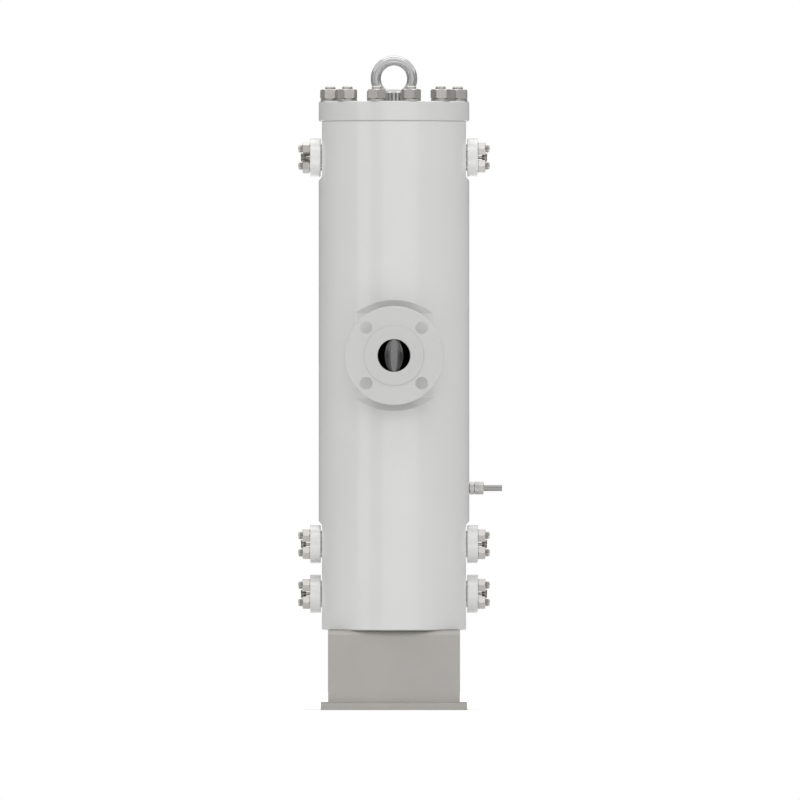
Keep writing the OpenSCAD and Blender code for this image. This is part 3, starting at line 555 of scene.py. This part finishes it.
portStud = {"gap": 0.0266, "crest": 0.00595, "root": 0.0050, "pitch": 0.00175,
            "chamfer": 0.001, "length": 0.0544, "threadLength": 0.011, "runOut": 0.001}
portNames = ("vent", "upper_drain", "lower_drain")
bm = bmesh.new()
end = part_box("port_studs")[1].x
start, foot = end - portStud["length"], end - portStud["threadLength"]
root, crest, bite = portStud["root"], portStud["crest"], portStud["chamfer"]
for name in portNames:
    for side, word in ((-1, "left"), (1, "right")):
        low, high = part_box(f"{name}_cover_{word}")
        toPort = (Matrix.Translation((0, 0, (low.z + high.z) / 2))
                  @ Matrix.Rotation(side * math.pi / 2, 4, "Y"))
        for u, v in ((-0.5, -0.5), (-0.5, 0.5), (0.5, -0.5), (0.5, 0.5)):
            place = toPort @ Matrix.Translation((u * portStud["gap"], v * portStud["gap"], 0))
            addTurned(bm, [
                (crest - bite, start), (crest, start + bite), (crest, foot),
                (root, foot + portStud["runOut"]), (root, end - bite), (root - bite, end)],
                place, segments=24)
            addThread(bm, portStud, foot, end - portStud["runOut"] / 2, place)
portStudPiece = makePiece("portStuds", bm, zincSteel, "vessel")
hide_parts("port_studs")
print("port studs threaded")

# lifting eye, forged in one piece

eye = {"ringRadius": 0.028, "cordRadius": 0.008, "collarRadius": 0.020, "collarHeight": 0.0155,
       "chamfer": 0.002, "shankRadius": 0.010, "shankLength": 0.028, "neckRadius": 0.0165,
       "neckHeight": 0.003, "footRadius": 0.014, "footHeight": 0.004, "lead": 0.001,
       "middleRadius": 0.006, "ringSteps": 96, "cordSteps": 32, "voxel": 0.0006,
       "smoothing": 30, "smoothShare": 0.5}
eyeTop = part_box("lifting_eye")[1].z
eyeMiddle = eyeTop - eye["ringRadius"] - eye["cordRadius"]
collarTop = lidTop + eye["collarHeight"]


def eyeRing():
    bm = bmesh.new()
    loops = []
    ahead = Vector((0, 1, 0))
    for i in range(eye["ringSteps"]):
        turn = 2 * math.pi * i / eye["ringSteps"]
        outward = Vector((math.cos(turn), 0, math.sin(turn)))
        middle = Vector((0, 0, eyeMiddle)) + outward * eye["ringRadius"]
        around = [2 * math.pi * j / eye["cordSteps"] for j in range(eye["cordSteps"])]
        loops.append([middle + eye["cordRadius"] * (math.cos(a) * outward + math.sin(a) * ahead)
                      for a in around])
    addLoops(bm, loops, closed=True)
    addTurned(bm, [
        (eye["footRadius"], lidTop + eye["footHeight"]),
        (eye["neckRadius"], collarTop - eye["chamfer"]), (eye["neckRadius"], collarTop),
        (eye["cordRadius"], collarTop + eye["neckHeight"])], Matrix.Identity(4), segments=64)
    mesh = bpy.data.meshes.new("eyeRing")
    bmesh.ops.recalc_face_normals(bm, faces=bm.faces)
    bm.to_mesh(mesh)
    bm.free()
    rough = bpy.data.objects.new("eyeRing", mesh)
    scene.collection.objects.link(rough)
    remesh = rough.modifiers.new("blend", "REMESH")
    remesh.mode = "VOXEL"
    remesh.voxel_size = eye["voxel"]
    smooth = rough.modifiers.new("flow", "SMOOTH")
    smooth.factor = eye["smoothShare"]
    smooth.iterations = eye["smoothing"]
    bpy.context.view_layer.update()
    blended = bpy.data.meshes.new_from_object(
        rough.evaluated_get(bpy.context.evaluated_depsgraph_get()))
    rough.modifiers.clear()
    rough.data = blended
    for face in blended.polygons:
        face.use_smooth = True
    blended.materials.clear()
    blended.materials.append(forgedSteel)
    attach(rough, "lid_set")
    return rough


ringPiece = eyeRing()
bm = bmesh.new()
shankEnd = lidTop - eye["shankLength"]
addTurned(bm, [
    (eye["shankRadius"] - eye["lead"], shankEnd), (eye["shankRadius"], shankEnd + eye["lead"]),
    (eye["shankRadius"], lidTop), (eye["collarRadius"], lidTop),
    (eye["collarRadius"], collarTop - eye["chamfer"]),
    (eye["collarRadius"] - eye["chamfer"], collarTop), (eye["middleRadius"], collarTop)],
    Matrix.Identity(4), segments=96)
collarPiece = makePiece("eyeCollar", bm, forgedSteel, "lid_set", smoothAngle=20)
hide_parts("lifting_eye")
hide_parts("lifting_eye")
print("lifting eye forged")


# weld beads

def addBead(bm, points, outwards, radius, ripple, closed, sides=10):
    # a rounded bead along points; each ripple is one frozen ring of the weld pool
    loops = []
    count = len(points)
    for k, point in enumerate(points):
        before = points[k - 1] if closed or k else points[k]
        after = points[(k + 1) % count] if closed or k < count - 1 else points[k]
        ahead = (after - before).normalized()
        outward = outwards[k]
        across = ahead.cross(outward).normalized()
        phase = (k % ripple["steps"]) / ripple["steps"]
        swell = radius * (1 + ripple["depth"] * (1 - phase * phase))
        loops.append([point + swell * (math.cos(2 * math.pi * j / sides) * outward
                                       + math.sin(2 * math.pi * j / sides) * across)
                      for j in range(sides)])
    addLoops(bm, loops, closed)


weld = {"radius": 0.0042, "neckRadius": 0.0312, "sink": 0.0012, "steps": 480,
        "ripple": {"steps": 4, "depth": 0.09}}
bm = bmesh.new()
for side in (-1, 1):
    points, outwards = [], []
    for k in range(weld["steps"]):
        turn = 2 * math.pi * k / weld["steps"]
        ray = Vector((math.cos(turn), 0, math.sin(turn)))
        points.append(Vector((0, side * (mainFlat + weld["sink"]), flowHeight))
                      + ray * weld["neckRadius"])
        outwards.append((ray + Vector((0, side, 0))).normalized())
    addBead(bm, points, outwards, weld["radius"], weld["ripple"], closed=True)
makePiece("neckWelds", bm, vesselPaint, "vessel", smoothAngle=60)

standWeld = {"radius": 0.0045, "halfLength": 0.0985, "innerFace": 0.0935, "sink": 0.0008,
             "steps": 360, "ripple": {"steps": 5, "depth": 0.08}}
bm = bmesh.new()
for side in (-1, 1):
    points, outwards = [], []
    for k in range(standWeld["steps"]):
        x = standWeld["halfLength"] * (2 * k / (standWeld["steps"] - 1) - 1)
        points.append(Vector((x, side * (standWeld["innerFace"] - standWeld["sink"]),
                              baseTop + standWeld["sink"])))
        outwards.append(Vector((0, -side, 1)).normalized())
    addBead(bm, points, outwards, standWeld["radius"], standWeld["ripple"], closed=False)
makePiece("standWelds", bm, standCoat, "vessel", smoothAngle=60)
print("welds laid")

# floor, lamps, world and camera

# the lift grows outwards, so that the floor's far edge can't be told from the background
floorLook = {"size": 6.0, "colour": (0.86, 0.86, 0.86, 1), "lift": (0.32, 1.0),
             "reach": (0.5, 1.8)}


def backgroundRays(tree):
    # 1 for the rays that show the background: to the eye, in gloss and through glass
    rays = addNode(tree, "LightPath").outputs
    shown = calc(tree, "MAXIMUM", rays["Is Camera Ray"], rays["Is Glossy Ray"])
    return calc(tree, "MAXIMUM", shown, rays["Is Transmission Ray"])


def mattGlow(tree, output, colour, glow):
    # a matt surface that also shines a little
    matt = addNode(tree, "BsdfDiffuse", {"Color": colour})
    shine = addNode(tree, "Emission", {"Strength": glow})
    total = addNode(tree, "AddShader", {0: matt.outputs[0], 1: shine.outputs[0]})
    tree.links.new(total.outputs[0], output.inputs["Surface"])


def makeFloor():
    mesh = bpy.data.meshes.new("floor")
    h = floorLook["size"] / 2
    mesh.from_pydata([(-h, -h, 0), (h, -h, 0), (h, h, 0), (-h, h, 0)], [], [(0, 1, 2, 3)])
    floor = bpy.data.objects.new("floor", mesh)
    scene.collection.objects.link(floor)
    material, tree, output, place = startMaterial("paleFloor")
    reach = addNode(tree, "VectorMath", {0: place}, operation="LENGTH").outputs["Value"]
    lift = ramp(tree, reach, *floorLook["reach"], *floorLook["lift"])
    mattGlow(tree, output, floorLook["colour"], calc(tree, "MULTIPLY", backgroundRays(tree), lift))
    mesh.materials.append(material)


makeFloor()

# a ring of grey screens out of the picture, for metal and gloss to show
# each has its azimuths, 0 in front and positive to the right, then its grey and its glow
screens = {"radius": 6.0, "foot": -0.4, "top": 3.0, "step": 4}    # step in degrees
screenSpans = (("left", -104, -18, 0.76, 0.0), ("middle", -18, 36, 0.95, 0.30),
               ("right", 36, 104, 0.70, 0.0), ("back", 104, 256, 0.58, 0.0))


def makeScreen(word, start, end, grey, glow):
    material, tree, output, _ = startMaterial(word + "Grey")
    mattGlow(tree, output, (grey, grey, grey, 1), glow)
    points, faces = [], []
    steps = round((end - start) / screens["step"])
    for k in range(steps + 1):
        turn = math.radians(start + (end - start) * k / steps)
        x, y = screens["radius"] * math.sin(turn), -screens["radius"] * math.cos(turn)
        points += [(x, y, screens["foot"]), (x, y, screens["top"])]
        if k:
            faces.append((2 * k - 2, 2 * k, 2 * k + 1, 2 * k - 1))
    mesh = bpy.data.meshes.new(word + "Screen")
    mesh.from_pydata(points, [], faces)
    mesh.materials.append(material)
    screen = bpy.data.objects.new(word + "Screen", mesh)
    screen.visible_camera = False
    scene.collection.objects.link(screen)


for span in screenSpans:
    makeScreen(*span)

worldLook = {"ambient": 0.56}
world = bpy.data.worlds.new("studio")
scene.world = world
world.use_nodes = True
tree = world.node_tree
tree.nodes.clear()
output = addNode(tree, "OutputWorld")
strength = ramp(tree, backgroundRays(tree), 0.0, 1.0, worldLook["ambient"], 1.0)
backdrop = addNode(tree, "Background", {"Color": (1, 1, 1, 1), "Strength": strength})
tree.links.new(backdrop.outputs[0], output.inputs["Surface"])

# radiance 1 is a white sheet in full light; gloss shows only the "shown" part of a lamp
lamps = (
    {"name": "frontLamp", "azimuth": 3, "distance": 4.0, "height": 2.6, "wide": 2.0,
     "tall": 1.5, "radiance": 2.5, "shown": 0.0},
    {"name": "leftLamp", "azimuth": -47, "distance": 4.5, "height": 1.5, "wide": 1.7,
     "tall": 2.8, "radiance": 1.4, "shown": 0.4},
    {"name": "rightLamp", "azimuth": 75, "distance": 4.2, "height": 2.4, "wide": 1.8,
     "tall": 1.6, "radiance": 2.7, "shown": 0.4},
    {"name": "highLamp", "azimuth": 0, "distance": 1.45, "height": 3.15, "wide": 2.4,
     "tall": 0.85, "radiance": 1.9, "shown": 1.0},
    {"name": "topLamp", "azimuth": 180, "distance": 1.0, "height": 3.4, "wide": 3.0,
     "tall": 1.8, "radiance": 2.0, "shown": 1.1},
)
middle = Vector((0, 0, (cadLow.z + cadHigh.z) / 2))


def hangLamp(name, lamp, distance, radiance, glossy):
    light = bpy.data.lights.new(name, "AREA")
    light.shape = "RECTANGLE"
    light.size, light.size_y = lamp["wide"], lamp["tall"]
    light.energy = math.pi * radiance * lamp["wide"] * lamp["tall"]
    holder = bpy.data.objects.new(name, light)
    turn = math.radians(lamp["azimuth"])
    holder.location = (distance * math.sin(turn), -distance * math.cos(turn), lamp["height"])
    holder.rotation_mode = "QUATERNION"
    holder.rotation_quaternion = (middle - holder.location).to_track_quat("-Z", "Y")
    holder.visible_glossy = glossy
    scene.collection.objects.link(holder)


# the two parts of a lamp hang a little apart, since a ray meets only one of two in one place
lampGap = 0.03
for lamp in lamps:
    soft = lamp["radiance"] - lamp["shown"]
    hangLamp(lamp["name"] + "Soft", lamp, lamp["distance"] + lampGap, soft, glossy=False)
    if lamp["shown"]:
        hangLamp(lamp["name"], lamp, lamp["distance"], lamp["shown"], glossy=True)

# a long lens from far away, which leaves next to no perspective
view = {"middleX": 0.00924, "middleZ": 0.4766, "distance": 52.0, "frameWidth": 1.232,
        "sensor": 36.0, "near": 1.0, "far": 200.0}
camera = bpy.data.cameras.new("camera")
camera.sensor_width = view["sensor"]
camera.lens = view["sensor"] * view["distance"] / view["frameWidth"]
camera.clip_start, camera.clip_end = view["near"], view["far"]
cameraHolder = bpy.data.objects.new("camera", camera)
cameraHolder.location = (view["middleX"], -view["distance"], view["middleZ"])
cameraHolder.rotation_euler = (math.pi / 2, 0, 0)
scene.collection.objects.link(cameraHolder)
scene.camera = cameraHolder
scene.view_settings.view_transform = "Standard"
print("floor, lamps and camera set")
